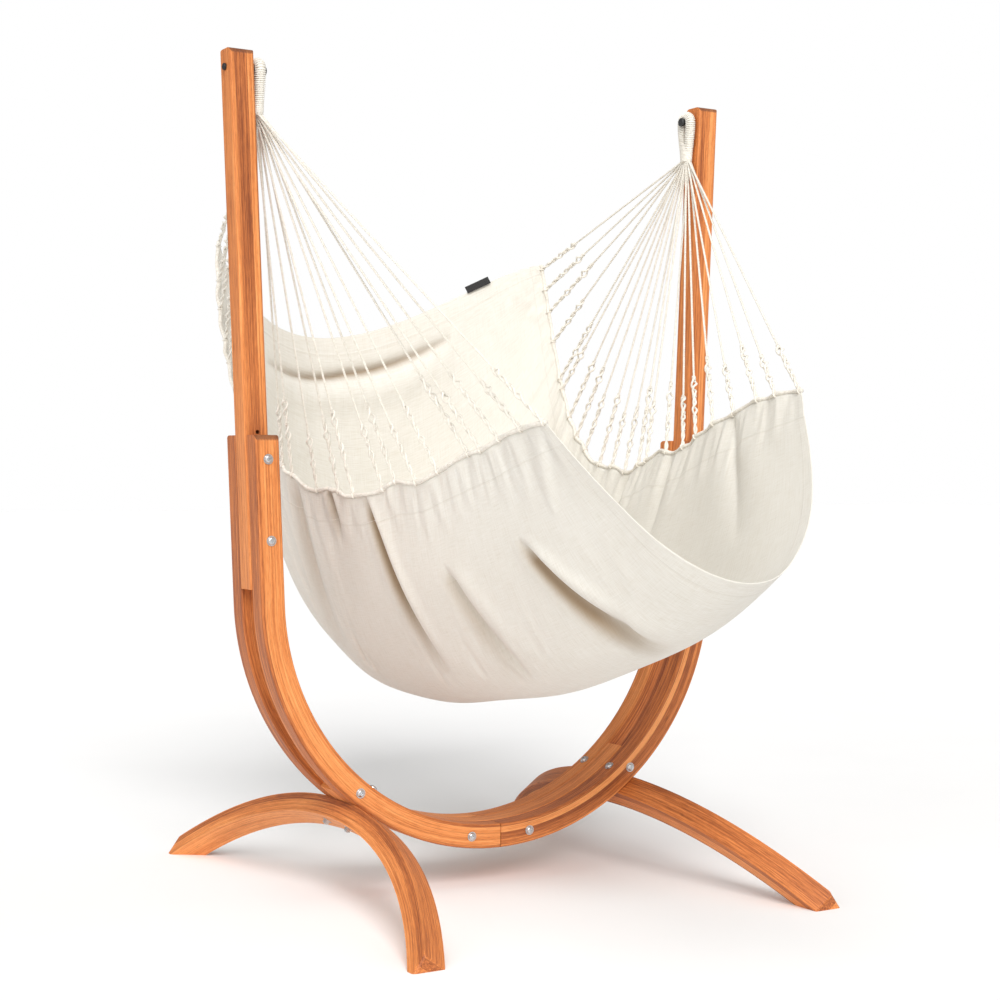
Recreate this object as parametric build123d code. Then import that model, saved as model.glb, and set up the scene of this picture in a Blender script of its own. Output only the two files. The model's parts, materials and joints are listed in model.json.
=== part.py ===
"""A hammock chair hung between the two uprights of a bent-wood stand.

Millimetres. +Z is up, +X is the sitter's left, -Y is the side the sitter's legs point to.
The origin is on the floor, in the middle of the object's footprint.
"""

import os
from math import comb, cos, radians, sin, sqrt

from build123d import *

os.makedirs("parts", exist_ok=True)

# --- Driving dimensions -------------------------------------------------------------------

total_height = 1680.0           # floor to the tops of the posts
stand_y = 163.0                 # the stand's middle plane, behind the middle of the footprint

bend_radius = 516.0             # centreline of the bent rails
bend_centre_z = 620.0
rail_width = 50.0               # measured across the bend
rail_thickness = 45.0           # along Y
rail_gap = 52.0                 # between the front and the rear rails
rail_top_z = 932.0
lean = 2.5                      # degrees the straight ends lean outwards
end_gap = 0.9                   # half the joint line where two rails butt
rail_edge = 4.0                 # rounding along the long edges
rail_top_edge = 13.0            # rounding over the top end

middle_rail_reach = 43.0        # degrees each way from the lowest point
middle_rail_edge = 1.5
post_width = 50.0
post_depth = 51.4
post_step = 2.0                 # the post stands this far proud of the rails' outside
post_bottom_z = 630.0
post_edge = 5.0                 # rounding along the long edges
post_top_edge = 12.0

foot_tilt = 36.0                # degrees the arches lean outwards
foot_width = 52.0
foot_thickness = 43.0
foot_radius = 974.0             # bend of the arch
foot_droop = 0.208              # extra fourth-power drop towards the tips, per cubic metre
foot_crown = 560.0              # centreline of the crown, from the bend's centre
foot_reach = 580.0              # tips, along Y
foot_tip_edge = 7.0             # rounding of the tips' corners
foot_edge = 1.8                 # chamfer along the outer edges
foot_span = 640.0               # the arch is drawn this far each way, then cut off at its reach

bolt_radius = 4.0
bolt_clearance = 0.1
head_radius = 8.0
head_height = 4.8
socket_size = 2.6
washer_radius = 10.0
washer_thickness = 1.6
nut_size = 13.0                 # across the flats
nut_height = 6.5
post_bolt_heights = (885.0, 727.0)
hole_pitch = 53.0               # one step of the height setting
rail_bolt_angles = (7.8, 39.3)
washer_lift = 0.15              # a flat washer bridges the hollow of the bend
spot_depth = 1.2                # flat cut for the washers under the arches

pin_z = 1645.0
pin_radius = 5.0
pin_running_gap = 0.05
pin_head_radius = 7.0
pin_head_height = 5.0
knob_radius = 9.5
knob_height = 5.0
knob_face_x = 504.0             # inward end of the knob, from the middle

eye_radius = 25.5
eye_thickness = 24.0
eye_x = 521.5                   # middle of the eye
neck_width = 30.0
neck_z = 1556.0                 # the cords leave the eye here

cords_per_side = 22
cord_rows = 3
cord_radius = 1.7
cord_pitch = 4.1                # between neighbouring cords where they leave the eye
knot_length = 130.0
knot_radius = 4.0
knot_end = 11.0                 # from the middle of the hem cord to the end of the knot

cloth_thickness = 2.4
hem_radius = 4.0
hem_gap = 0.5

tab_width = 64.0
tab_height = 17.0
tab_thickness = 1.2
tab_u = 0.57                    # where along the back edge it is sewn
tab_rise = 5.0                  # its middle stands above the edge
tab_stand_off = 3.6             # in front of the cloth, so that the flat tab clears its curve

# --- Small helpers ------------------------------------------------------------------------


def save(name, *solids):
    """Writes the solids, moved from the stand's middle plane to the part's own frame."""
    moved = [Pos(0, stand_y, 0) * solid for solid in solids]
    export_step(moved[0] if len(moved) == 1 else Compound(children=moved), f"parts/{name}.step")


def along(origin, direction, solid):
    """The solid with its own +Z turned to point along the direction."""
    return Plane(origin=origin, z_dir=direction) * solid


def rod(start, end, radius):
    """A round rod between two points."""
    path = Vector(*end) - Vector(*start)
    lower = (Align.CENTER, Align.CENTER, Align.MIN)
    return along(start, path, Cylinder(radius, path.length, align=lower))


def other_side(solid):
    """The same piece on the left."""
    return mirror(solid, about=Plane.YZ)


def bend_point(angle, radius=bend_radius):
    """A point of the bend, by the angle from its lowest point."""
    return (radius * sin(radians(angle)), 0, bend_centre_z - radius * cos(radians(angle)))


# --- Fasteners: button-head bolts, washers and hex nuts --------------------------------------


def bolt(grip):
    """A bolt whose head sits on z = 0 and whose shank runs down through the grip and nut."""
    upper = (Align.CENTER, Align.CENTER, Align.MIN)
    lower = (Align.CENTER, Align.CENTER, Align.MAX)
    head = Cylinder(head_radius, head_height, align=upper)
    head = fillet(head.edges().sort_by(Axis.Z)[-1], head_height * 0.9)
    socket = Pos(0, 0, head_height / 2) * extrude(RegularPolygon(socket_size, 6), head_height)
    return head + Cylinder(bolt_radius, grip, align=lower) - socket


def washer():
    """A washer lying under z = 0."""
    ring = Circle(washer_radius) - Circle(bolt_radius + bolt_clearance)
    return extrude(ring, -washer_thickness)


def nut():
    """A hex nut lying under z = 0."""
    hexagon = RegularPolygon(nut_size / 2, 6, major_radius=False)
    return extrude(hexagon - Circle(bolt_radius + bolt_clearance), -nut_height)


def bolted(origin, direction, grip):
    """Bolt, the washer under its head, the washer under its nut and the nut."""
    stack = grip + 2 * washer_thickness
    tail = stack + nut_height + bolt_radius / 2
    bolt_here = Pos(0, 0, washer_thickness) * bolt(tail)
    head_washer = Pos(0, 0, washer_thickness) * washer()
    nut_washer = Pos(0, 0, -grip) * washer()
    nut_here = Pos(0, 0, -grip - washer_thickness) * nut()
    placed = [along(origin, direction, s) for s in (bolt_here, head_washer, nut_washer, nut_here)]
    return placed[0], placed[1:3], placed[3]


def bolt_hole(origin, direction, length):
    """The hole a bolt goes through, from the origin down against the direction."""
    lower = (Align.CENTER, Align.CENTER, Align.MAX)
    drill = Cylinder(bolt_radius + bolt_clearance, length, align=lower)
    return along(origin, direction, Pos(0, 0, 1) * drill)


# --- Bent rails ------------------------------------------------------------------------------

stack_depth = rail_gap + 2 * rail_thickness
rail_y = (rail_gap + rail_thickness) / 2
bend_end = 90 - lean
start_x, _, start_z = bend_point(bend_end)
lean_x = sin(radians(lean))
lean_z = cos(radians(lean))


def straight_x(z):
    """Where the rail's straight end has its centreline at a height."""
    return start_x + (z - start_z) * lean_x / lean_z


def bent_rail(side_y):
    """The right rail in front of (-1) or behind (+1) the middle plane."""
    tall = rail_top_z + rail_width
    arc = ThreePointArc(bend_point(0), bend_point(bend_end / 2), bend_point(bend_end))
    straight = Line(bend_point(bend_end), (straight_x(tall), 0, tall))
    section = Plane(origin=bend_point(0), x_dir=(0, 1, 0), z_dir=(1, 0, 0)) * RectangleRounded(
        rail_thickness, rail_width, rail_edge
    )
    rail = Pos(0, side_y * rail_y, 0) * sweep(section, path=arc + straight)
    blank = Rectangle(rail_thickness, rail_top_z, align=(Align.CENTER, Align.MIN))
    corners = blank.vertices().group_by(Axis.Y)[-1].sort_by(Axis.X)
    rounded = fillet(corners[-1] if side_y > 0 else corners[0], rail_top_edge)
    reach = bend_radius * 3
    shape = Plane.YZ.offset(end_gap) * Pos(side_y * rail_y, 0) * rounded
    return rail & extrude(shape, reach)


holes = []
bolts = {"post": [], "rail": [], "foot": []}
washers = {"post": [], "rail": [], "foot": []}
nuts = {"post": [], "rail": [], "foot": []}


def add_bolt(group, origin, direction, grip):
    """Places one bolted joint and keeps its hole."""
    bolt_here, washers_here, nut_here = bolted(origin, direction, grip)
    bolts[group].append(bolt_here)
    washers[group] += washers_here
    nuts[group].append(nut_here)
    holes.append(bolt_hole(origin, direction, grip + 2))


front = (0, -1, 0)
for side in (-1, 1):
    for z in post_bolt_heights:
        add_bolt("post", (side * straight_x(z), -stack_depth / 2, z), front, stack_depth)
    for angle in rail_bolt_angles:
        x, _, z = bend_point(angle)
        add_bolt("rail", (side * x, -stack_depth / 2, z), front, stack_depth)

# --- Feet: laminated arches that lean outwards ----------------------------------------------------


def arch_distance(y):
    """Centreline of the arch below the bend's centre, along its leaning plane."""
    circle = foot_radius - sqrt(foot_radius**2 - y**2)
    return foot_crown + circle + foot_droop * (y / 1000) ** 4 * 1000


def arch_edge(y, offset):
    """A point of the arch's upper (-) or lower (+) edge, square to the centreline."""
    step = 1.0
    slope = (arch_distance(y + step) - arch_distance(y - step)) / (2 * step)
    length = sqrt(1 + slope**2)
    return (y - offset * slope / length, arch_distance(y) + offset / length)


tilt = radians(foot_tilt)
down = (sin(tilt), 0, -cos(tilt))
foot_plane = Plane(origin=(0, 0, bend_centre_z), x_dir=(0, 1, 0), z_dir=(-cos(tilt), 0, -sin(tilt)))
stations = [foot_span * k / 6 for k in range(-6, 7)]
upper = [arch_edge(y, -foot_thickness / 2) for y in stations]
lower = [arch_edge(y, foot_thickness / 2) for y in stations]
outline = Wire(
    [
        Spline(upper).edge(),
        Line(upper[-1], lower[-1]).edge(),
        Spline(lower).edge(),
        Line(lower[0], upper[0]).edge(),
    ]
)
arch = extrude(foot_plane * make_face(outline.edges()), foot_width / 2, both=True)
arch = chamfer(arch.faces().sort_by(Axis.X)[0].edges().filter_by(GeomType.BSPLINE), foot_edge)
seat_radius = bend_radius + rail_width / 2
crown_cutter = along(
    (0, 0, bend_centre_z),
    down,
    Box(3 * foot_width, 3 * foot_reach, seat_radius, align=(Align.CENTER, Align.CENTER, Align.MIN)),
)
room = Box(total_height, 2 * foot_reach, total_height, align=(Align.MIN, Align.CENTER, Align.MIN))
right_foot = (arch - crown_cutter) & room
tip_edges = [
    edge
    for face in right_foot.faces().filter_by(Plane.XZ)
    for edge in face.edges()
    if edge.center().Z > 1 and edge.length > foot_edge * 2
]
right_foot = fillet(tip_edges, foot_tip_edge)

foot_grip = rail_width + arch_distance(rail_y) + foot_thickness / 2 - seat_radius - spot_depth
foot_cutters = []
for side in (-1, 1):
    for y in (-rail_y, rail_y):
        inner_x, _, inner_z = bend_point(foot_tilt, bend_radius - rail_width / 2 - washer_lift)
        inward = (-side * sin(tilt), 0, cos(tilt))
        add_bolt("foot", (side * inner_x, y, inner_z), inward, foot_grip)
        lowest = (Align.CENTER, Align.CENTER, Align.MAX)
        spot_face = Pos(0, 0, -foot_grip) * Cylinder(washer_radius + 1, foot_thickness, align=lowest)
        foot_cutters.append(along((side * inner_x, y, inner_z), inward, spot_face))

# --- Posts, with the pins the chair hangs on ----------------------------------------------------


def post_x(z):
    """The post's centreline at a height."""
    return straight_x(z) + post_step


tall = total_height + post_width
post = loft(
    [
        Pos(post_x(z), 0, z) * RectangleRounded(post_width / lean_z, post_depth, post_edge)
        for z in (post_bottom_z, tall)
    ]
)
blank = Rectangle(post_depth, total_height, align=(Align.CENTER, Align.MIN))
rounded = fillet(blank.vertices().group_by(Axis.Y)[-1], post_top_edge)
post = post & extrude(Plane.YZ * rounded, 2 * total_height)
pin_hole = rod((0, 0, pin_z), (total_height, 0, pin_z), pin_radius + pin_running_gap)
spare_holes = [
    Pos(straight_x(z), 0, z) * Rot(90, 0, 0) * Cylinder(bolt_radius + bolt_clearance, stack_depth)
    for z in (post_bolt_heights[0] + hole_pitch, post_bolt_heights[1] + hole_pitch)
]
for cutter in (pin_hole, *spare_holes):
    post = post - cutter

rails = {
    "front_right_rail": bent_rail(-1),
    "rear_right_rail": bent_rail(1),
}
rails["front_left_rail"] = other_side(rails["front_right_rail"])
rails["rear_left_rail"] = other_side(rails["rear_right_rail"])
middle_arc = ThreePointArc(bend_point(-middle_rail_reach), bend_point(0), bend_point(middle_rail_reach))
start_plane = Plane(
    origin=bend_point(-middle_rail_reach),
    x_dir=(0, 1, 0),
    z_dir=(cos(radians(middle_rail_reach)), 0, -sin(radians(middle_rail_reach))),
)
middle_rail = sweep(start_plane * RectangleRounded(post_depth, rail_width, middle_rail_edge), path=middle_arc)
rails["middle_rail"] = middle_rail
rails["right_post"] = post
rails["left_post"] = other_side(post)
rails["right_foot"] = right_foot
rails["left_foot"] = other_side(right_foot)

for name, solid in rails.items():
    for cutter in holes + (foot_cutters if name.endswith("foot") else []):
        if solid.bounding_box().overlaps(cutter.bounding_box()):
            solid = solid - cutter
    save(name, solid)
for group in ("post", "rail", "foot"):
    save(f"{group}_bolts", *bolts[group])
    save(f"{group}_washers", *washers[group])
    save(f"{group}_nuts", *nuts[group])

pin_tip_x = knob_face_x + knob_height
outer_face_x = post_x(pin_z) + post_width / 2 / lean_z
head_base_x = outer_face_x + pin_head_radius * lean_x
pin = rod((pin_tip_x, 0, pin_z), (head_base_x, 0, pin_z), pin_radius)
pin_head = rod((head_base_x, 0, pin_z), (head_base_x + pin_head_height, 0, pin_z), pin_head_radius)
pin = pin + fillet(pin_head.edges().sort_by(Axis.X)[-1], pin_head_height / 2)
knob = rod((knob_face_x, 0, pin_z), (pin_tip_x, 0, pin_z), knob_radius)
knob = fillet(knob.edges().sort_by(Axis.X)[0], knob_height * 0.6)
save("right_pin", pin)
save("left_pin", other_side(pin))
save("right_knob", knob)
save("left_knob", other_side(knob))

# --- The seat's shape ---------------------------------------------------------------------------


def bezier(controls, t):
    """A point of the Bezier curve with the given control values."""
    n = len(controls) - 1
    weights = [comb(n, k) * t**k * (1 - t) ** (n - k) for k in range(n + 1)]
    return [sum(w * c[i] for w, c in zip(weights, controls)) for i in range(len(controls[0]))]


# Control points from the back of the chair (0) to its front (1): half-width, Y and Z of the
# corded side hems, then Y and Z of the cloth's middle line.
hem_controls = [(417, 447, 1360), (465, 375, 915), (335, 165, 590), (270, -400, 985), (285, -685, 980)]
middle_controls = [(520, 1190), (370, 400), (500, 155), (100, 515), (-300, 270), (-905, 685)]
roundness = [(1.04,), (1.40,), (1.15,)]         # radians: how far the cross-section turns each way
skew = [(0,), (0,), (50,), (34,)]               # how much higher the right hem hangs than the middle
back_ripple = 140.0                             # the left of the back edge sags lower than the right


def seat_point(u, v):
    """A point of the cloth: u is -1 to 1 from left to right, v is 0 to 1 from back to front."""
    half_width, hem_y, hem_z = bezier(hem_controls, v)
    middle_y, middle_z = bezier(middle_controls, v)
    turn = bezier(roundness, v)[0]
    across = sin(turn * u) / sin(turn)
    rise = (1 - cos(turn * u)) / (1 - cos(turn))
    ripple = back_ripple * u * (1 - u * u) * (1 - v) ** 3
    return Vector(
        half_width * across,
        middle_y + (hem_y - middle_y) * rise,
        middle_z + (hem_z + bezier(skew, v)[0] * u - middle_z) * rise + ripple,
    )


def beyond_hem(side, v, distance):
    """A point past the cloth's side edge, in the direction the cloth runs there."""
    edge = seat_point(side, v)
    hem_run = (seat_point(side, v + 0.001) - seat_point(side, v - 0.001)).normalized()
    run = edge - seat_point(side * 0.99, v)
    run = run - hem_run * run.dot(hem_run)
    return edge + run.normalized() * distance


def even_steps(side, count):
    """Values of v that divide a side hem into equal lengths."""
    fine = [k / 200 for k in range(201)]
    points = [seat_point(side, v) for v in fine]
    reached = [0.0]
    for a, b in zip(points, points[1:]):
        reached.append(reached[-1] + (b - a).length)
    wanted = [reached[-1] * k / (count - 1) for k in range(count)]
    return [min(fine, key=lambda v: abs(reached[fine.index(v)] - w)) for w in wanted]


columns = [k / 12 for k in range(-12, 13)]
rows = [k / 20 for k in range(21)]
net = [[seat_point(u, v) for v in rows] for u in columns]
sheet = Face.make_surface_from_array_of_points(net, tol=0.1, max_deg=3)
seat_cloth = Solid.thicken(sheet, cloth_thickness)
save("seat_cloth", seat_cloth)

tab_at = seat_point(tab_u, 0)
tab_run = (seat_point(tab_u + 0.05, 0) - seat_point(tab_u - 0.05, 0)).normalized()
tab_down = (seat_point(tab_u, 0.01) - tab_at).normalized()
tab_out = tab_run.cross(tab_down).normalized()
tab_out = tab_out if tab_out.Y < 0 else -tab_out
tab_middle = tab_at + tab_out * tab_stand_off - tab_down * tab_rise
tab_plane = Plane(origin=tab_middle, x_dir=tab_run, z_dir=tab_out)
save("label_tab", tab_plane * Box(tab_width, tab_height, tab_thickness))

# --- Hem cords, eyes, fans and knots --------------------------------------------------------------

neck = Pos(0, neck_z - pin_z + eye_radius / 2) * Rectangle(neck_width, eye_radius)
eye_outline = make_hull(Circle(eye_radius).edges() + neck.edges())
eye = extrude(Plane.YZ.offset(eye_x - eye_thickness / 2) * eye_outline, eye_thickness)
eye = fillet(eye.edges().filter_by(Plane.YZ), eye_thickness * 0.35)
eye = Pos(0, 0, pin_z) * eye - pin_hole

lower = (Align.CENTER, Align.CENTER, Align.MIN)
above_neck = Pos(0, 0, neck_z - hem_gap) * Box(total_height, total_height, eye_radius, align=lower)

for side, name in ((1, "right"), (-1, "left")):
    steps = even_steps(side, cords_per_side)
    hem_line = Spline([beyond_hem(side, v, hem_radius + hem_gap) for v in steps])
    hem = sweep(Plane(origin=hem_line @ 0, z_dir=hem_line % 0) * Circle(hem_radius), path=hem_line)
    save(f"{name}_hem_rope", hem)
    cords = []
    knots = []
    for k, v in enumerate(steps):
        column = k // cord_rows
        row = k % cord_rows
        middle_column = (cords_per_side - 1) // cord_rows / 2
        top = Vector(
            side * eye_x + (row - (cord_rows - 1) / 2) * cord_pitch,
            (middle_column - column) * cord_pitch,
            neck_z,
        )
        anchor = beyond_hem(side, min(max(v, 0.01), 0.99), hem_radius + hem_gap)
        run = (anchor - top).normalized()
        low = anchor - run * knot_end
        knot_top = low - run * knot_length
        cord = rod(top - run * 2 * cord_radius, knot_top, cord_radius)
        cords.append(cord - above_neck)
        knot = rod(knot_top, low, knot_radius)
        knots.append(fillet(knot.edges().filter_by(GeomType.CIRCLE), knot_radius * 0.5))
    save(f"{name}_cords", *cords)
    save(f"{name}_knots", *knots)
    save(f"{name}_eye", eye if side > 0 else other_side(eye))
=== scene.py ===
"""The finished look of a hammock chair hung on a bent-wood stand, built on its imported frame."""

import json
from math import comb, cos, pi, radians, sin, sqrt, tan

import bpy
import numpy as np
from mathutils import Matrix, Vector


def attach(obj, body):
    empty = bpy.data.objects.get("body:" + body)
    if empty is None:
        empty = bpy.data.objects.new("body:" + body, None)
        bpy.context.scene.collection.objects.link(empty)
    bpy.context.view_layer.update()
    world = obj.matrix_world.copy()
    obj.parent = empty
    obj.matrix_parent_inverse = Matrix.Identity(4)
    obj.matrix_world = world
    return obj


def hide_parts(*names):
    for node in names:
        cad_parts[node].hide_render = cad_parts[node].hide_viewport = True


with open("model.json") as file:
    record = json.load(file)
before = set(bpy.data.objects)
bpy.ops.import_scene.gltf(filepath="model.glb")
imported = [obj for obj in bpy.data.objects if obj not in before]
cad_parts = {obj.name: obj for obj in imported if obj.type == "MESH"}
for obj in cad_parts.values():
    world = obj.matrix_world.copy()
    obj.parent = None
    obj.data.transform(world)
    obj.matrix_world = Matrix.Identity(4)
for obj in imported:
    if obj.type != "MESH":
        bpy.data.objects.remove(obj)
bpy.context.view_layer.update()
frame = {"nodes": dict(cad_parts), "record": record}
nodes = frame["nodes"]


# --- Bent rails and posts --------------------------------------------------------------------
# Four quarter bends, a splice between them and two straight posts, of reddish plantation hardwood.
# Each is glued up from thin plies that follow the bend, planed, rounded over and oiled.

swing = frame["record"]["behaviour"]["joints"][0]
stand_y = swing["pos_m"][1]
bend_radius = 0.516
bend_centre_z = 0.620
lean = radians(2.5)
ply_thickness = 0.0125
post_top_z = 1.680
rail_top_z = 0.932
rail_end_run = bend_radius * pi / 2 + rail_top_z - bend_centre_z
post_end_run = bend_radius * pi / 2 + post_top_z - bend_centre_z


class Signal:
    """A shader socket that arithmetic works on: each operator adds one Math node."""

    def __init__(self, finish, socket):
        self.finish = finish
        self.socket = socket

    def math(self, operation, *others):
        values = dict(enumerate((self, *others)))
        return self.finish.node("ShaderNodeMath", {"operation": operation}, values)

    def __add__(self, other):
        return self.math("ADD", other)

    def __sub__(self, other):
        return self.math("SUBTRACT", other)

    def __mul__(self, other):
        return self.math("MULTIPLY", other)

    def __truediv__(self, other):
        return self.math("DIVIDE", other)

    def __rsub__(self, other):
        return self.finish.node("ShaderNodeMath", {"operation": "SUBTRACT"}, {0: other, 1: self})

    __radd__ = __add__

    def step(self, low, high):
        """0 below low, 1 above high and smooth between; low may be the larger."""
        settings = {"interpolation_type": "SMOOTHSTEP"}
        return self.finish.node("ShaderNodeMapRange", settings, {0: self, 1: low, 2: high})

    def near(self, middle, width):
        """1 at the middle, falling smoothly to 0 a width away."""
        return (self - middle).math("ABSOLUTE").step(width, 0.0)


def socket_name(word):
    """A shader socket's own name, from a keyword such as base_color."""
    return word.replace("_", " ").title().replace("Ior", "IOR")


class Finish:
    """One material, written node by node."""

    def __init__(self, name, **shader):
        self.material = bpy.data.materials.new(name)
        self.material.use_nodes = True
        self.tree = self.material.node_tree
        self.shader = self.tree.nodes["Principled BSDF"]
        for socket, value in shader.items():
            self.shader.inputs[socket_name(socket)].default_value = value

    def node(self, kind, settings, sockets, output=0):
        """Adds a node: its settings first, then its sockets' values or links."""
        node = self.tree.nodes.new(kind)
        for name, value in settings.items():
            if name == "stops":
                ramp = node.color_ramp
                while len(ramp.elements) < len(value):
                    ramp.elements.new(0.5)
                for element, (place, colour) in zip(ramp.elements, value):
                    element.position = place
                    element.color = (*colour, 1)
            else:
                setattr(node, name, value)
        for name, value in sockets.items():
            if isinstance(value, Signal):
                self.tree.links.new(value.socket, node.inputs[name])
            elif isinstance(value, tuple) and len(value) == 3 and node.inputs[name].type == "RGBA":
                node.inputs[name].default_value = (*value, 1)
            else:
                node.inputs[name].default_value = value
        return Signal(self, node.outputs[output])

    def position(self):
        """X, Y and Z in the object's own frame."""
        place = self.node("ShaderNodeTexCoord", {}, {}, "Object")
        return [self.node("ShaderNodeSeparateXYZ", {}, {0: place}, axis) for axis in range(3)]

    def vector(self, x, y, z):
        return self.node("ShaderNodeCombineXYZ", {}, {0: x, 1: y, 2: z})

    def noise(self, vector, scale, detail=3.0, rough=0.55):
        sockets = {"Vector": vector, "Scale": scale, "Detail": detail, "Roughness": rough}
        return self.node("ShaderNodeTexNoise", {}, sockets)

    def mix(self, factor, one, other):
        settings = {"data_type": "RGBA", "blend_type": "MIX"}
        return self.node("ShaderNodeMix", settings, {0: factor, 6: one, 7: other}, 2)

    def ramp(self, factor, *stops):
        return self.node("ShaderNodeValToRGB", {"stops": stops}, {0: factor})

    def bump(self, height, distance, strength):
        sockets = {"Height": height, "Distance": distance, "Strength": strength}
        return self.node("ShaderNodeBump", {}, sockets)

    def done(self, **surface):
        """Links the varying inputs of the shader and returns the material."""
        for socket, value in surface.items():
            self.tree.links.new(value.socket, self.shader.inputs[socket_name(socket)])
        return self.material


def oiled_wood(name, places, end_shade=0.0):
    """Hardwood plies; places(finish) gives the run along the grain, across the plies and sideways."""
    wood = Finish(name, coat_weight=0.08, coat_roughness=0.35, specular_ior_level=0.35)
    run, across, aside = places(wood)
    piece = wood.node("ShaderNodeObjectInfo", {}, {}, "Random")
    ply = (across / ply_thickness + 0.5).math("FLOOR")
    place_in_ply = across / ply_thickness + 0.5 - ply
    tone = wood.node("ShaderNodeTexWhiteNoise", {"noise_dimensions": "2D"}, {
        "Vector": wood.vector(ply, piece * 37.0, 0.0)})
    shift = tone * 5.0 + piece * 9.0
    broad = wood.noise(wood.vector(run * 3.0 + shift, across * 26.0, aside * 26.0 + shift), 1.0, 2.0)
    figure = wood.noise(wood.vector(run * 4.0 + shift, across * 330.0, aside * 260.0), 1.0, 4.0, 0.6)
    fibre = wood.noise(wood.vector(run * 34.0 + shift, across * 900.0, aside * 900.0), 1.0, 3.0, 0.65)
    pores = wood.noise(wood.vector(run * 75.0, across * 1700.0, aside * 1700.0 + shift), 1.0, 1.0)
    streaks = wood.noise(wood.vector(run * 3.0 + shift, across * 520.0, aside * 420.0), 1.0, 2.0)
    knots = wood.noise(wood.vector(run * 15.0 + shift * 2.0, across * 60.0, aside * 60.0), 1.0, 2.0)
    shade = figure * 0.46 + broad * 0.20 + fibre * 0.34 + (tone - 0.5) * 0.20
    colour = wood.ramp(
        shade,
        (0.34, (0.240, 0.060, 0.016)),
        (0.44, (0.480, 0.138, 0.034)),
        (0.53, (0.690, 0.226, 0.058)),
        (0.65, (0.880, 0.355, 0.115)),
    )
    dark = streaks.step(0.62, 0.74) * 0.50 + pores.step(0.63, 0.74) * 0.38 + knots.step(0.72, 0.80) * 0.55
    glue = 1 - (place_in_ply - 0.5).math("ABSOLUTE").step(0.5, 0.455)
    colour = wood.mix(dark, colour, (0.165, 0.050, 0.018))
    colour = wood.mix(glue * 0.55, colour, (0.215, 0.070, 0.024))
    up = wood.node("ShaderNodeNewGeometry", {}, {}, "Normal")
    facing_up = wood.node("ShaderNodeSeparateXYZ", {}, {0: up}, 2)
    rail_end = facing_up.step(0.05, 0.45) * run.near(rail_end_run, 0.06)
    post_end = facing_up.step(0.05, 0.45) * run.step(post_end_run - 0.03, post_end_run - 0.01)
    end_grain = rail_end.math("MAXIMUM", post_end) * end_shade
    colour = wood.mix(end_grain, colour, (0.115, 0.040, 0.018))
    height = fibre * 0.6 + figure * 0.4 - pores.step(0.60, 0.74) * 0.8 - glue * 0.5
    return wood.done(
        base_color=colour,
        roughness=0.40 + fibre * 0.22 + dark * 0.15,
        normal=wood.bump(height, 0.0006, 0.55),
    )


def along_the_bend(finish):
    """Run along the rail, distance across its plies and distance sideways."""
    x, y, z = finish.position()
    out = x.math("ABSOLUTE")
    below = (bend_centre_z - z).math("MAXIMUM", 0.0)
    above = (z - bend_centre_z).math("MAXIMUM", 0.0)
    radius = (out * out + below * below).math("SQRT") - above * tan(lean)
    run = out.math("ARCTAN2", below) * bend_radius + above
    return run, radius - bend_radius, y - stand_y


rail_wood = oiled_wood("rail_wood", along_the_bend, 0.75)
for name in nodes:
    if name.endswith(("_rail", "_post")):
        nodes[name].data.materials.clear()
        nodes[name].data.materials.append(rail_wood)


# --- Arched feet -----------------------------------------------------------------------------
# Two laminated arches, leaning outwards, bolted under the bend and sawn flat where they stand.

foot_tilt = radians(36.0)
foot_crown = 0.560
foot_radius = 0.974
foot_droop = 0.208
foot_steepening = 1 / sqrt(2)


def along_the_arch(finish):
    """Run along the arch, distance across its plies and distance sideways."""
    x, y, z = finish.position()
    out = x.math("ABSOLUTE")
    below = bend_centre_z - z
    ahead = y - stand_y
    depth = out * sin(foot_tilt) + below * cos(foot_tilt)
    aside = out * cos(foot_tilt) - below * sin(foot_tilt)
    square = ahead * ahead
    curve = foot_radius - (foot_radius**2 - square).math("MAXIMUM", 0.0).math("SQRT")
    across = depth - foot_crown - curve - square * square * foot_droop
    flat = (1 - square * foot_steepening).math("MAXIMUM", 0.6)
    return ahead * (1 + square * 0.35), across * flat, aside


foot_wood = oiled_wood("foot_wood", along_the_arch)
for name in ("left_foot", "right_foot"):
    nodes[name].data.materials.clear()
    nodes[name].data.materials.append(foot_wood)


# --- Bolts, washers and nuts -------------------------------------------------------------------
# Zinc-plated button-head bolts with hex sockets, flat washers and hex nuts, lightly scratched.


def worked_metal(name, colour, rough, metallic=1.0):
    """Turned metal with fine scratches and a little dirt."""
    metal = Finish(name, metallic=metallic)
    x, y, z = metal.position()
    turned = metal.noise(metal.vector(x * 2500.0, y * 300.0, z * 2500.0), 1.0, 2.0)
    dirt = metal.noise(metal.vector(x, y, z), 260.0, 4.0, 0.65)
    grime = dirt.step(0.52, 0.74)
    return metal.done(
        base_color=metal.mix(grime * 0.45, colour, tuple(c * 0.35 for c in colour)),
        roughness=rough + turned * 0.16 + grime * 0.2,
        normal=metal.bump(turned, 0.00012, 0.4),
    )


plated = worked_metal("plated_steel", (0.62, 0.62, 0.63), 0.20)
for group in ("post", "rail", "foot"):
    for kind in ("bolts", "washers", "nuts"):
        fastener = nodes[f"{group}_{kind}"]
        fastener.data.materials.clear()
        fastener.data.materials.append(plated)


# --- Pins and knobs ------------------------------------------------------------------------------
# Blackened steel pins through the post tops; moulded black knobs stop the eyes from slipping off.

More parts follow.
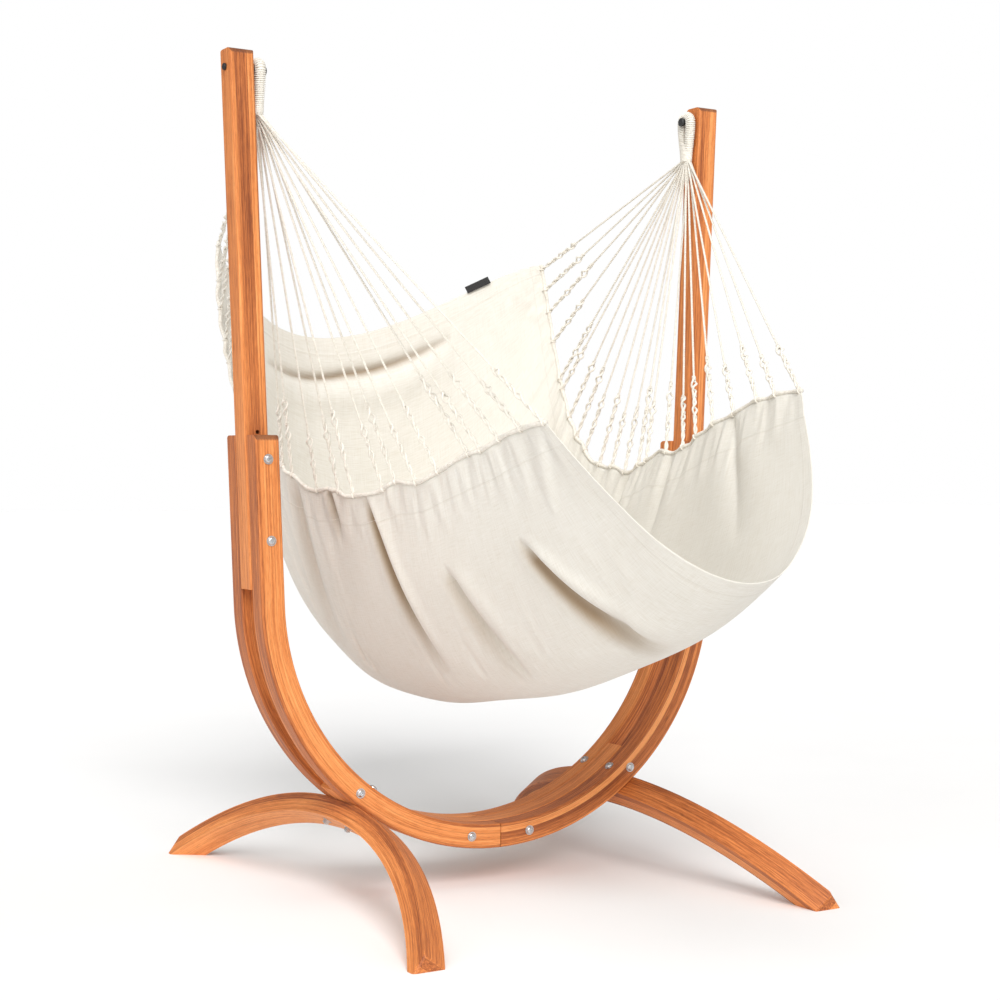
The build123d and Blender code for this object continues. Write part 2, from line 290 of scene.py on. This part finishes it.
blackened = worked_metal("blackened_steel", (0.035, 0.034, 0.036), 0.38, 0.6)
moulded = Finish("moulded_black", coat_weight=0.25, coat_roughness=0.2)
grain = moulded.noise(moulded.node("ShaderNodeTexCoord", {}, {}, "Object"), 900.0, 3.0)
moulded.done(
    base_color=moulded.ramp(grain, (0.35, (0.012, 0.012, 0.013)), (0.7, (0.030, 0.030, 0.032))),
    roughness=0.30 + grain * 0.22,
    normal=moulded.bump(grain, 0.0002, 0.5),
)
for side in ("left", "right"):
    for piece, finish, slot in (("pin", blackened, "pin_steel"), ("knob", moulded.material, "knob_plastic")):
        node = nodes[f"{side}_{piece}"]
        node.data.materials.clear()
        node.data.materials.append(finish)


# --- Canvas seat -----------------------------------------------------------------------------------
# One length of undyed cotton-linen canvas, gathered along both side hems and hung like a sling.
# The side hems are turned over and sewn down; the front and back edges have narrow sewn hems.

canvas_width = 1.36
canvas_length = 2.12
canvas_thickness = 0.0013
# The grid that settles, and how much finer the finished cloth is each way.
across_count = 91
along_count = 141
refine_across = 2
refine_along = 5
# Control values from the back of the seat to its front: half-width, distance behind the stand and
# height of the side hems, then distance behind it and height of the cloth's middle line.
hem_controls = ((0.417, 0.447, 1.360), (0.465, 0.375, 0.915), (0.335, 0.165, 0.590),
                (0.270, -0.400, 0.985), (0.285, -0.685, 0.980))
middle_controls = ((0.520, 1.190), (0.370, 0.400), (0.500, 0.155),
                   (0.100, 0.515), (-0.300, 0.270), (-0.905, 0.685))
# How far a cross-section turns each way, in radians, and how much the right hem is raised and the
# left one lowered.
roundness = ((1.04,), (1.40,), (1.15,))
skew = ((0.0,), (0.0,), (0.050,), (0.034,))
back_ripple = 0.140
cords_per_side = 22
full_turn = 2 * pi


def bezier(controls, t):
    """Points of the Bezier curve with these control values, for an array of t."""
    n = len(controls) - 1
    t = np.asarray(t, float)[..., None]
    return sum(comb(n, k) * t**k * (1 - t) ** (n - k) * np.array(controls[k]) for k in range(n + 1))


def seat_surface(u, v):
    """Points of the hanging canvas: u is -1 to 1 from left to right, v is 0 to 1 from back to front."""
    u, v = np.broadcast_arrays(np.asarray(u, float), np.asarray(v, float))
    hem = bezier(hem_controls, v)
    middle = bezier(middle_controls, v)
    turn = bezier(roundness, v)[..., 0]
    rise = (1 - np.cos(turn * u)) / (1 - np.cos(turn))
    x = hem[..., 0] * np.sin(turn * u) / np.sin(turn)
    y = middle[..., 0] + (hem[..., 1] - middle[..., 0]) * rise + stand_y
    z = middle[..., 1] + (hem[..., 2] + bezier(skew, v)[..., 0] * u - middle[..., 1]) * rise
    return np.stack([x, y, z + back_ripple * u * (1 - u * u) * (1 - v) ** 3], -1)


def cord_stations(side):
    """Values of v, from back to front, where the cords hold a side hem, a little unevenly spaced."""
    fine = np.linspace(0, 1, 801)
    line = seat_surface(side, fine)
    reached = np.concatenate([[0], np.cumsum(np.linalg.norm(np.diff(line, axis=0), axis=1))])
    order = np.arange(cords_per_side)
    uneven = 0.26 * np.sin(2.4 * order * order + side) * (order % (cords_per_side - 1) > 0)
    return np.interp((order + uneven) / (cords_per_side - 1) * reached[-1], reached, fine)


def bell(distance, width):
    return np.exp(-((distance / width) ** 2))


def inward_normals(points):
    """Unit normals of a grid of points, towards the sitter."""
    down_u = np.gradient(points, axis=0)
    down_v = np.gradient(points, axis=1)
    normal = np.cross(down_v, down_u)
    normal /= np.linalg.norm(normal, axis=-1, keepdims=True) + 1e-12
    centre = np.array([0, stand_y - 0.1, 1.1])
    if np.mean(np.sum(normal * (centre - points), axis=-1)) < 0:
        normal = -normal
    return normal


def creases(u, v):
    """How far the folds stand in (+) from the smooth sling, in metres, and how strongly painted shade
    darkens each place in and beside a fold.
    """
    # Each fold: places (across, along) it runs through, its half-width as a share of the length, and
    # its depth in metres, below 0 where it stands out.
    folds = (
        (((-0.97, 0.598), (-0.82, 0.622), (-0.66, 0.641), (-0.34, 0.668)), 0.0048, 0.020),
        (((-0.72, 0.735), (-0.56, 0.757), (-0.42, 0.772), (-0.22, 0.782)), 0.0070, 0.012),
        (((-0.70, 0.866), (-0.63, 0.883), (-0.46, 0.899), (0.04, 0.914)), 0.0050, 0.021),
        (((-1.00, 0.512), (-0.97, 0.516), (-0.94, 0.520), (-0.86, 0.525)), 0.0042, 0.014),
        (((1.00, 0.690), (0.92, 0.697), (0.86, 0.705), (0.66, 0.715)), 0.0100, -0.008),
        (((1.00, 0.840), (0.92, 0.860), (0.82, 0.872), (0.62, 0.905)), 0.0110, -0.011),
        (((0.99, 0.560), (0.90, 0.565), (0.75, 0.570), (0.55, 0.580)), 0.0110, -0.007),
        (((-0.98, 0.420), (-0.85, 0.428), (-0.70, 0.435), (-0.45, 0.450)), 0.0120, 0.010),
        (((-0.97, 0.250), (-0.80, 0.262), (-0.60, 0.275), (-0.35, 0.290)), 0.0140, 0.012),
        (((0.97, 0.260), (0.80, 0.268), (0.65, 0.275), (0.45, 0.290)), 0.0140, 0.010),
    )
    height = np.zeros_like(u)
    shade = np.zeros_like(u)
    for path, width, depth in folds:
        across, place = np.array(path if path[0][0] < path[-1][0] else path[::-1]).T
        t = (u - across[0]) / (across[-1] - across[0])
        t = t if depth > 0 else 1 - t
        fade = np.clip((t + 0.06) / 0.12, 0, 1) * np.clip((1 - t) / 0.60, 0, 1) ** 0.8
        spread = width * (0.8 + 0.7 * np.clip(t, 0, 1))
        curve = np.polyval(np.polyfit(across, place, 2), u)
        off = (v - curve) / spread
        valley = np.exp(-np.abs(off) ** 1.25)
        height += depth * fade * (valley - 0.30 * bell(off - 2.8, 2.0) - 0.14 * bell(off + 3.0, 2.2))
        # Painted shade: each fold that sinks in darkens the colour along its valley and the slope beside it.
        shade += np.clip(depth / 0.020, 0, 1) ** 1.3 * fade * np.exp(-np.abs((off + 0.9) / 1.6) ** 1.8)
    height += 0.0014 * np.sin(7.1 * u + 19 * v + 3 * np.sin(5 * v)) * np.sin(23 * v + 2.6 * u * u)
    # Just under the back edge the slack panel has folded on itself and its collar leans back.
    roll = 0.0235 + 0.020 * np.clip(-0.15 - u, 0, 1)
    fold = np.clip(1 - ((u + 0.10) / 0.50) ** 2, 0, 1) ** 0.6
    off = (v - roll) / 0.0030
    height -= 0.022 * fold * np.exp(-np.abs(off) ** 1.3)
    height += 0.012 * fold * bell(v - roll - 0.014, 0.011)
    height -= 0.010 * fold * np.clip(1 - v / roll, 0, 1)
    # Painted shade: a dark line in the crease under the back collar and a faint painted shade over the
    # collar band above it.
    shade += fold * (0.85 * np.exp(-np.abs(off / 0.9) ** 1.5) + 0.10 * (v < roll))
    return height, np.clip(shade, 0, 1)


def canvas_mesh(name, points):
    """A grid mesh whose UVs are metres of flat cloth."""
    rows, columns = points.shape[:2]
    index = np.arange(rows * columns).reshape(rows, columns)
    faces = np.stack([index[:-1, :-1], index[1:, :-1], index[1:, 1:], index[:-1, 1:]], -1).reshape(-1, 4)
    mesh = bpy.data.meshes.new(name)
    mesh.from_pydata(points.reshape(-1, 3).tolist(), [], faces.tolist())
    layer = mesh.uv_layers.new(name="cloth")
    for loop in mesh.loops:
        row, column = divmod(loop.vertex_index, columns)
        layer.data[loop.index].uv = (row / (rows - 1) * canvas_width, column / (columns - 1) * canvas_length)
    mesh.polygons.foreach_set("use_smooth", [True] * len(mesh.polygons))
    piece = bpy.data.objects.new(name, mesh)
    bpy.context.scene.collection.objects.link(piece)
    return piece


def seat_grid():
    """The sling before it settles, with broad slack folds and the side hems drawn up at the cords."""
    u = np.linspace(-1, 1, across_count)[:, None]
    v = np.linspace(0, 1, along_count)[None, :]
    u, v = np.broadcast_arrays(u, v)
    points = seat_surface(u, v)
    normal = inward_normals(points)
    slack = 0.0025 * np.sin(31 * v + 2.2 * u) * np.sin(5.3 * u + 1.0) * (1 - u**6)
    points = points + normal * slack[..., None]
    points[..., 2] += hem_waves(u, v) * np.clip((np.abs(u) - 0.72) / 0.28, 0, 1) ** 2
    return u, v, points


def hem_waves(u, v):
    """The side hems hang in uneven waves between the cords that hold them."""
    wander = 0.0045 * np.sin(47 * v + 4 * u) + 0.0030 * np.sin(83 * v - 3 * u)
    swag = -0.016 * bell(v - 0.735, 0.030) + 0.010 * bell(v - 0.655, 0.022) - 0.006 * bell(v - 0.58, 0.03)
    return wander * np.sin(pi * v) + np.where(u > 0, swag, 0.3 * swag)


def between(values, count, axis):
    """Smooth in-between rows of a grid, by cubic curves through the rows."""
    values = np.moveaxis(values, axis, 0)
    rows = len(values)
    place = np.linspace(0, rows - 1, count)
    low = np.minimum(place.astype(int), rows - 2)
    t = (place - low).reshape(-1, *([1] * (values.ndim - 1)))
    before = values[np.maximum(low - 1, 0)]
    after = values[np.minimum(low + 2, rows - 1)]
    one = values[low]
    two = values[low + 1]
    slope_one = (two - before) / 2
    slope_two = (after - one) / 2
    made = (2 * t**3 - 3 * t**2 + 1) * one + (t**3 - 2 * t**2 + t) * slope_one
    made += (3 * t**2 - 2 * t**3) * two + (t**3 - t**2) * slope_two
    return np.moveaxis(made, 0, axis)


def hang(piece, held, stiffness, frames=24, cap=0.008):
    """Lets the cloth settle under its own weight and keeps the settled shape."""
    before = np.array([vertex.co for vertex in piece.data.vertices])
    group = piece.vertex_groups.new(name="held")
    for index, weight in enumerate(held):
        group.add([index], float(weight), "REPLACE")
    cloth = piece.modifiers.new("Cloth", "CLOTH")
    settings = cloth.settings
    settings.quality = 6
    settings.mass = 0.25
    settings.tension_stiffness = 30
    settings.compression_stiffness = 12
    settings.shear_stiffness = 8
    settings.bending_stiffness = stiffness
    settings.shrink_min = -0.010
    settings.vertex_group_mass = "held"
    settings.pin_stiffness = 0.6
    cloth.point_cache.frame_start = 1
    cloth.point_cache.frame_end = frames
    for step in range(1, frames + 1):
        bpy.context.scene.frame_set(step)
    settled = piece.evaluated_get(bpy.context.evaluated_depsgraph_get())
    after = np.array([vertex.co for vertex in settled.data.vertices])
    piece.modifiers.remove(cloth)
    bpy.context.scene.frame_set(1)
    move = after - before
    length = np.linalg.norm(move, axis=1, keepdims=True)
    move *= np.minimum(1, cap / np.maximum(length, 1e-9))
    piece.data.vertices.foreach_set("co", (before + move).ravel())
    piece.vertex_groups.clear()


canvas_u, canvas_v, canvas_points = seat_grid()
sling = canvas_mesh("settling_sling", canvas_points)
held = np.maximum((np.abs(canvas_u) > 0.999) * 1.0, bell(canvas_v, 0.02))
hang(sling, np.maximum(held, 0.04).ravel(), 1.0)
settled = np.array([vertex.co for vertex in sling.data.vertices]).reshape(canvas_points.shape)
bpy.data.objects.remove(sling)

fine_across = (across_count - 1) * refine_across + 1
fine_along = (along_count - 1) * refine_along + 1
canvas_points = between(between(settled, fine_across, 0), fine_along, 1)
fine_u = np.linspace(-1, 1, fine_across)[:, None]
fine_v = np.linspace(0, 1, fine_along)[None, :]
fine_u, fine_v = np.broadcast_arrays(fine_u, fine_v)
puckers = np.zeros_like(fine_u)
for side in (-1, 1):
    gap = np.interp(fine_v, cord_stations(side), np.arange(cords_per_side))
    gather = np.clip((fine_u * side - 0.86) / 0.14, 0, 1)
    puckers += 0.0024 * np.cos(full_turn * gap) * gather**2
    puckers += 0.0009 * np.sin(2.5 * full_turn * gap) * gather * (1 - gather)
creased, fold_shade = creases(fine_u, fine_v)
canvas_points = canvas_points + inward_normals(canvas_points) * (creased + puckers)[..., None]
seat = canvas_mesh("canvas_seat", canvas_points)
# The painted shade of the folds is kept on the cloth's points for its colour.
fold_dust = seat.data.attributes.new("fold_dust", "FLOAT", "POINT")
fold_dust.data.foreach_set("value", fold_shade.ravel())
thickness = seat.modifiers.new("thickness", "SOLIDIFY")
thickness.thickness = canvas_thickness
thickness.offset = 0

hem_band = 0.052
edge_band = 0.022
canvas = Finish("cotton_canvas", sheen_weight=0.25, sheen_roughness=0.5, specular_ior_level=0.25)
flat = canvas.node("ShaderNodeUVMap", {"uv_map": "cloth"}, {})
weft = canvas.node("ShaderNodeSeparateXYZ", {}, {0: flat}, 0)
warp = canvas.node("ShaderNodeSeparateXYZ", {}, {0: flat}, 1)
thread_pitch = 0.0016
thread = full_turn / thread_pitch
over = (weft * thread).math("SINE") * (warp * thread).math("SINE")
warp_slubs = canvas.noise(canvas.vector(weft * 620.0, warp * 26.0, 0.0), 1.0, 3.0, 0.6)
weft_slubs = canvas.noise(canvas.vector(weft * 24.0, warp * 620.0, 3.0), 1.0, 3.0, 0.6)
thick_threads = canvas.noise(canvas.vector(weft * 9.0, warp * 300.0, 7.0), 1.0, 2.0)
cloudy = canvas.noise(canvas.vector(weft, warp, 1.0), 7.0, 4.0, 0.6)
side_distance = canvas_width / 2 - (weft - canvas_width / 2).math("ABSOLUTE")
end_distance = canvas_length / 2 - (warp - canvas_length / 2).math("ABSOLUTE")
stitch_length = 0.0046
stitch_turn = full_turn / stitch_length
side_stitch = side_distance.near(hem_band, 0.0012) * (warp * stitch_turn).math("SINE").step(-0.5, 0.1)
end_stitch = end_distance.near(edge_band, 0.0012) * (weft * stitch_turn).math("SINE").step(-0.5, 0.1)
stitches = side_stitch.math("MAXIMUM", end_stitch)
side_fold = side_distance.near(hem_band + 0.003, 0.0035)
end_fold = end_distance.near(edge_band + 0.003, 0.0030)
folded = side_fold.math("MAXIMUM", end_fold)
doubled = side_distance.step(hem_band + 0.001, hem_band - 0.001)
fibre_tone = warp_slubs * 0.34 + weft_slubs * 0.40 + thick_threads * 0.14 + cloudy * 0.12
canvas_colour = canvas.ramp(
    fibre_tone,
    (0.30, (0.670, 0.622, 0.530)),
    (0.46, (0.780, 0.748, 0.672)),
    (0.62, (0.850, 0.828, 0.768)),
)
# Painted shade: the cloth turns brown-grey in its folds and under the back collar.
painted_crease_shade = canvas.node("ShaderNodeAttribute", {"attribute_name": "fold_dust"}, {}, 2)
canvas_colour = canvas.mix(painted_crease_shade * 0.85, canvas_colour, (0.270, 0.160, 0.065))
# Painted shadow: a thin darker line along the turned-over edges of the hems.
canvas_colour = canvas.mix(folded * 0.12, canvas_colour, (0.50, 0.43, 0.33))
canvas_colour = canvas.mix(stitches * 0.65, canvas_colour, (0.93, 0.90, 0.84))
canvas.done(
    base_color=canvas_colour,
    roughness=0.80 + fibre_tone * 0.18,
    normal=canvas.bump(
        over * 0.35 + warp_slubs * 0.8 + weft_slubs * 0.9 + thick_threads * 0.5
        + doubled * 1.0 - folded * 0.9 + stitches * 1.6,
        0.0005,
        0.6,
    ),
)
seat.data.materials.append(canvas.material)
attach(seat, "chair")
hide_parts("seat_cloth")


# --- Corded side hems ---------------------------------------------------------------------------------
# Each side hem is rolled round a cord; the fan's cords loop under it, so it scallops between them.

hem_radius = 0.0042


def tube(name, lines, radii, sides):
    """One mesh of round tubes along lines of points; each line has a radius for every point."""
    verts = []
    faces = []
    for line, radius in zip(lines, radii):
        line = np.asarray(line, float)
        count = len(line)
        radius = np.broadcast_to(np.asarray(radius, float), (count,))
        run = np.gradient(line, axis=0)
        run /= np.linalg.norm(run, axis=1, keepdims=True) + 1e-12
        side_way = np.cross(run[0], (0.31, 0.17, 0.93))
        side_way /= np.linalg.norm(side_way)
        start = len(verts)
        for k in range(count):
            side_way = side_way - run[k] * np.dot(side_way, run[k])
            side_way /= np.linalg.norm(side_way)
            other_way = np.cross(run[k], side_way)
            for j in range(sides):
                angle = full_turn * j / sides
                verts.append(line[k] + radius[k] * (cos(angle) * side_way + sin(angle) * other_way))
        for k in range(count - 1):
            for j in range(sides):
                a = start + k * sides + j
                b = start + k * sides + (j + 1) % sides
                faces.append((a, b, b + sides, a + sides))
        faces.append(tuple(start + j for j in reversed(range(sides))))
        faces.append(tuple(start + (count - 1) * sides + j for j in range(sides)))
    mesh = bpy.data.meshes.new(name)
    mesh.from_pydata([tuple(v) for v in verts], [], faces)
    mesh.polygons.foreach_set("use_smooth", [True] * len(mesh.polygons))
    piece = bpy.data.objects.new(name, mesh)
    bpy.context.scene.collection.objects.link(piece)
    return piece


def cotton(name, light, dark, rib):
    """Soft spun cotton: fluffy fibres over the yarn's own ribs."""
    yarn = Finish(name, sheen_weight=0.35, sheen_roughness=0.45, specular_ior_level=0.2)
    x, y, z = yarn.position()
    place = yarn.vector(x, y, z)
    fluff = yarn.noise(place, 1400.0, 3.0, 0.7)
    clumps = yarn.noise(place, 160.0, 3.0, 0.6)
    tone = fluff * 0.55 + clumps * 0.45
    return yarn.done(
        base_color=yarn.ramp(tone, (0.32, dark), (0.58, light)),
        roughness=0.82 + fluff * 0.15,
        normal=yarn.bump(fluff + clumps * 0.5, rib, 0.7),
    )


rolled_canvas = cotton("rolled_canvas", (0.880, 0.845, 0.770), (0.660, 0.600, 0.500), 0.0006)
hem_lines = {}
for side, name in ((-1, "left"), (1, "right")):
    edge = canvas_points[0 if side < 0 else -1]
    inner = canvas_points[2 if side < 0 else -3]
    outward = edge - inner
    outward /= np.linalg.norm(outward, axis=1, keepdims=True)
    line = edge + outward * hem_radius * 0.75
    gap = np.interp(np.linspace(0, 1, fine_along), cord_stations(side), np.arange(cords_per_side))
    lumps = hem_radius * (1 + 0.12 * np.cos(full_turn * gap) + 0.05 * np.sin(11.3 * gap))
    hem = tube(f"{name}_rolled_hem", [line], [lumps], 12)
    hem.data.materials.append(rolled_canvas)
    hem_lines[side] = line
    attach(hem, "chair")
    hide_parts(f"{name}_hem_rope")


# --- Whipped eyes ---------------------------------------------------------------------------------------
# The cords of each fan are bundled into a loop round the pin and bound tightly with cotton cord.

pin_z = swing["pos_m"][2]
eye_x = 0.5215
eye_radius = 0.0255
eye_thickness = 0.024
neck_z = 1.556
neck_half = 0.015
whipping = 0.0032


def eye_outline(t):
    """The bundle's centreline, from the neck up one side, over the pin and down the other."""
    ring = eye_radius - 0.0105
    angle = (t - 0.5) * 1.36 * pi
    if t < 0.12 or t > 0.88:
        share = t / 0.12 if t < 0.12 else (1 - t) / 0.12
        side_y = -1 if t < 0.5 else 1
        end_angle = 0.38 * 1.36 * pi
        top_y = side_y * ring * sin(end_angle)
        top_z = pin_z + ring * cos(end_angle)
        low_y = side_y * 0.0065
        ease = share * share * (3 - 2 * share)
        return np.array([low_y + (top_y - low_y) * ease, neck_z + (top_z - neck_z) * share])
    return np.array([ring * sin(angle), pin_z + ring * cos(angle)])


def whipped_eye(name, side):
    """Bound rounds of cord along the loop, and a straight binding round the neck."""
    rounds = 56
    per_round = 14
    line = []
    steps = rounds * per_round
    fine = np.array([eye_outline(k / 400) for k in range(401)])
    lengths = np.concatenate([[0], np.cumsum(np.linalg.norm(np.diff(fine, axis=0), axis=1))])
    for k in range(steps + 1):
        reach = lengths[-1] * k / steps
        y = np.interp(reach, lengths, fine[:, 0])
        z = np.interp(reach, lengths, fine[:, 1])
        ahead = min(reach + 0.001, lengths[-1])
        behind = max(reach - 0.001, 0)
        run = np.array([
            np.interp(ahead, lengths, fine[:, 0]) - np.interp(behind, lengths, fine[:, 0]),
            np.interp(ahead, lengths, fine[:, 1]) - np.interp(behind, lengths, fine[:, 1]),
        ])
        run /= np.linalg.norm(run)
        angle = full_turn * k / per_round
        squeeze = 1 - 0.25 * abs(2 * k / steps - 1) ** 3
        in_plane = 0.0085 * squeeze * cos(angle)
        across = (eye_thickness / 2 - 0.0016) * squeeze * sin(angle)
        line.append((side * eye_x + across, stand_y + y - run[1] * in_plane, z + run[0] * in_plane))
    neck = []
    neck_rounds = 13
    per_neck_round = 20
    for k in range(neck_rounds * per_neck_round + 1):
        angle = full_turn * k / per_neck_round
        height = neck_z + 0.0015 + k / per_neck_round * whipping * 0.92
        swell = 1 + 0.10 * sin(pi * k / (neck_rounds * per_neck_round)) + 0.008 * sin(k * 1.7)
        neck.append((
            side * eye_x + 0.0105 * swell * cos(angle),
            stand_y + (neck_half - 0.002) * swell * sin(angle),
            height,
        ))
    core = [(side * eye_x, stand_y + p[0], p[1]) for p in fine[::8]]
    core_neck = [(side * eye_x, stand_y, neck_z + 0.001 + 0.04 * k / 8) for k in range(9)]
    return tube(
        name,
        [line, neck, core, core_neck],
        [np.full(len(line), whipping / 2), np.full(len(neck), whipping / 2), 0.0085, 0.0095],
        7,
    )


bound_cotton = cotton("bound_cotton", (0.920, 0.890, 0.820), (0.700, 0.650, 0.560), 0.0005)
for side, name in ((-1, "left"), (1, "right")):
    eye = whipped_eye(f"{name}_whipped_eye", side)
    eye.data.materials.append(bound_cotton)
    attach(eye, "chair")
    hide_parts(f"{name}_eye")


# --- Fans of cords and their knotted ends ------------------------------------------------------------------
# Two-strand twisted cotton cords fan out from each eye. Low down each one is doubled back on itself,
# wound in an open spiral, and looped under the rolled hem.

cord_rows = 3
cord_pitch = 0.0041
twist_pitch = 0.0090
strand_radius = 0.00140
strand_offset = 0.00115
knot_length = 0.130
end_pitch = 0.046
end_radius = 0.0023
winding_pitch = 0.0034
winding_radius = 0.0014
loop_radius = 0.0016


def cross_ways(run):
    """Two unit vectors square to the run."""
    one = np.cross(run, (0.2, 0.9, 0.37))
    one /= np.linalg.norm(one)
    return one, np.cross(run, one)


def spiral(start, end, pitch, radius, phase, per_turn=7):
    """A strand wound round the straight line between two points."""
    length = np.linalg.norm(end - start)
    run = (end - start) / length
    one, two = cross_ways(run)
    steps = max(8, int(length / pitch * per_turn))
    t = np.linspace(0, 1, steps + 1)
    angle = full_turn * t * length / pitch + phase
    distance = np.broadcast_to(radius(t) if callable(radius) else radius, t.shape)
    middle = start + (end - start) * t[:, None]
    return middle + distance[:, None] * (np.cos(angle)[:, None] * one + np.sin(angle)[:, None] * two)


spun_cotton = cotton("spun_cotton", (0.890, 0.855, 0.780), (0.660, 0.605, 0.510), 0.0004)
for side, name in ((-1, "left"), (1, "right")):
    stations = cord_stations(side)
    hem_line = hem_lines[side]
    strands = []
    strand_radii = []
    wraps = []
    wrap_radii = []
    for k, v in enumerate(stations):
        place = np.clip(v, 0.006, 0.994) * (fine_along - 1)
        low = int(place)
        anchor = hem_line[low] + (hem_line[min(low + 1, fine_along - 1)] - hem_line[low]) * (place - low)
        column = k // cord_rows
        row = k % cord_rows
        top = np.array([
            side * eye_x + (row - (cord_rows - 1) / 2) * cord_pitch,
            stand_y + ((cords_per_side - 1) // cord_rows / 2 - column) * cord_pitch,
            neck_z + 0.002,
        ])
        run = (anchor - top) / np.linalg.norm(anchor - top)
        length = knot_length * (0.86 + 0.42 * ((k * 7) % 5) / 4)
        knot_top = anchor - run * (length + 0.008)
        for phase in (0.0, pi):
            strands.append(spiral(top, knot_top, twist_pitch, strand_offset, phase + k))
            strand_radii.append(strand_radius)
        ending = anchor - run * 0.004
        parting = 0.10 + 0.05 * (k % 3)

        def loose(t):
            opening = 0.0046 * bell(t - parting, 0.075) + 0.0030 * bell(t - parting - 0.38, 0.07)
            return 0.0021 + opening

        for phase in (0.0, pi):
            wraps.append(spiral(knot_top, ending, end_pitch, loose, phase + 1.3 * k, 18))
            wrap_radii.append(end_radius)
        for start, end, wide in ((-0.004, 0.007, 0.0030), (0.30, 0.36, 0.0036), (0.68, 0.73, 0.0034)):
            first = knot_top + run * (start if start < 0 else start * length)
            last = knot_top + run * (end if start < 0 else end * length)
            wraps.append(spiral(first, last, winding_pitch, wide, k, 10))
            wrap_radii.append(winding_radius)
        near = hem_line[min(low + 1, fine_along - 1)] - hem_line[max(low - 1, 0)]
        near /= np.linalg.norm(near)
        one, two = cross_ways(near)
        ring = [
            anchor + near * 0.0012 * sin(a) + (hem_radius + loop_radius) * (cos(a) * one + sin(a) * two)
            for a in np.linspace(0, full_turn, 15)
        ]
        wraps.append(ring)
        wrap_radii.append(loop_radius)
    fan = tube(f"{name}_cord_fan", strands, strand_radii, 5)
    ends = tube(f"{name}_wound_ends", wraps, wrap_radii, 6)
    for piece, node in ((fan, f"{name}_cords"), (ends, f"{name}_knots")):
        piece.data.materials.append(spun_cotton)
        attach(piece, "chair")
        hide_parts(node)


# --- Woven tab ---------------------------------------------------------------------------------------------
# A short dark ribbon folded over the back edge and sewn on, left plain.

ribbon = Finish("dark_ribbon", sheen_weight=0.05, specular_ior_level=0.2)
tab_x, tab_y, tab_z = ribbon.position()
rib_pitch = 0.0011
ribs = (tab_z * (full_turn / rib_pitch)).math("SINE")
lint = ribbon.noise(ribbon.vector(tab_x, tab_y, tab_z), 1100.0, 3.0)
ribbon.done(
    base_color=ribbon.ramp(lint, (0.35, (0.018, 0.018, 0.019)), (0.75, (0.075, 0.072, 0.070))),
    roughness=0.62 + lint * 0.25,
    normal=ribbon.bump(ribs * 0.5 + lint, 0.0003, 0.7),
)
tab = nodes["label_tab"]
tab.data.materials.clear()
tab.data.materials.append(ribbon.material)


# --- Floor, light and camera ---------------------------------------------------------------------
# A plain white studio floor that runs up into a white background, a broad soft key and gentle fills.

scene = bpy.context.scene
scene.view_settings.view_transform = "Standard"
paper = Finish("studio_paper", specular_ior_level=0.1)
mottle = paper.noise(paper.node("ShaderNodeTexCoord", {}, {}, "Object"), 3.0, 2.0)
paper.done(
    base_color=paper.ramp(mottle, (0.3, (0.940, 0.940, 0.940)), (0.7, (0.950, 0.950, 0.950))),
    roughness=0.9 + mottle * 0.1,
)
bpy.ops.mesh.primitive_plane_add(size=60)
floor = bpy.context.object
floor.name = "studio_floor"
floor.data.materials.append(paper.material)

world = bpy.data.worlds.new("studio")
scene.world = world
world.use_nodes = True
sky = world.node_tree
backdrop = sky.nodes.new("ShaderNodeBackground")
backdrop.inputs[0].default_value = (1, 1, 1, 1)
backdrop.inputs[1].default_value = 1.0
sky.nodes["Background"].inputs[0].default_value = (1.0, 0.985, 0.965, 1)
sky.nodes["Background"].inputs[1].default_value = 0.38
seen = sky.nodes.new("ShaderNodeLightPath")
either = sky.nodes.new("ShaderNodeMixShader")
sky.links.new(seen.outputs["Is Camera Ray"], either.inputs[0])
sky.links.new(sky.nodes["Background"].outputs[0], either.inputs[1])
sky.links.new(backdrop.outputs[0], either.inputs[2])
sky.links.new(either.outputs[0], sky.nodes["World Output"].inputs[0])

for name, direction, angle, power in (
    ("key", (-0.30, -0.78, 0.62), 28, 2.30),
    ("top", (-0.22, -0.10, 1.00), 40, 0.62),
    ("left_fill", (-0.92, -0.35, 0.12), 55, 0.95),
    ("right_fill", (0.85, -0.45, 0.40), 60, 0.30),
):
    lamp = bpy.data.lights.new(name, "SUN")
    lamp.angle = radians(angle)
    lamp.energy = power
    light = bpy.data.objects.new(name, lamp)
    light.rotation_euler = (-Vector(direction)).to_track_quat("-Z", "Y").to_euler()
    light.location = Vector(direction) * 4
    scene.collection.objects.link(light)

camera = bpy.data.objects.new("camera", bpy.data.cameras.new("camera"))
camera.data.lens = 67.1
camera.data.sensor_width = 36.0
camera.data.clip_end = 100
turn = Matrix.Rotation(radians(-31.07), 4, "Z") @ Matrix.Rotation(radians(90 - 1.08), 4, "X")
turn = turn @ Matrix.Rotation(radians(0.25), 4, "Z")
camera.matrix_world = Matrix.Translation((-2.001, -3.383 + stand_y, 0.876)) @ turn
scene.collection.objects.link(camera)
scene.camera = camera
